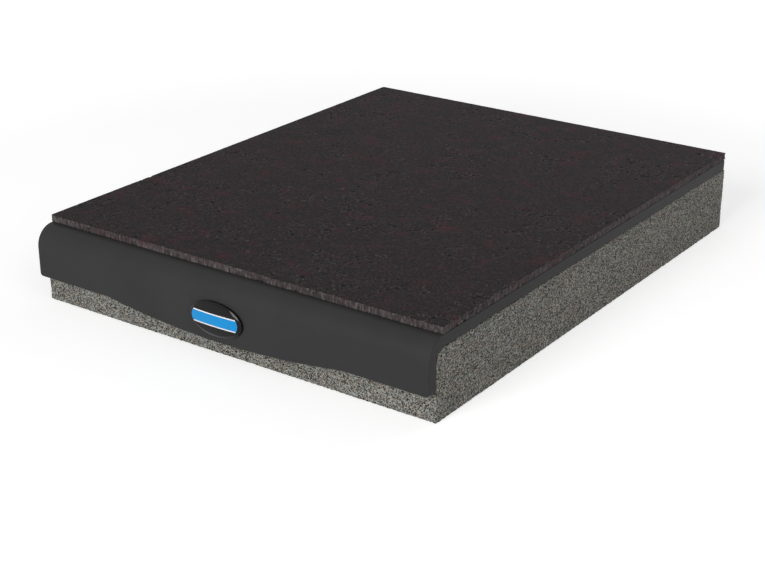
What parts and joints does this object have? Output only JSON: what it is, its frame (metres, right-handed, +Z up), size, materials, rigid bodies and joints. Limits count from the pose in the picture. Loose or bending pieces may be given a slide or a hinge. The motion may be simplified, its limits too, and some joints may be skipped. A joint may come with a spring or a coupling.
{
  "type": "speaker isolation pad",
  "caption": "Flat rectangular pad that a loudspeaker stands on: a soft foam base, a heavy steel plate with a folded front lip, and a thin rubber mat on top.",
  "frame": {"origin": "on the surface that the pad stands on, under the middle of the steel plate's footprint", "axes": "+X across the pad, +Y from the front lip to the back edge, +Z up out of the mat"},
  "size_m": [0.26, 0.333, 0.049],
  "materials": {
    "mat_rubber": "matte",
    "powder_coated_steel": "satin",
    "open_cell_foam": "matte",
    "badge_resin": "gloss"
  },
  "bodies": {
    "root": {"top_mat": "mat_rubber", "steel_plate": "powder_coated_steel", "foam_base": "open_cell_foam", "badge": "badge_resin"}
  },
  "joints": []
}
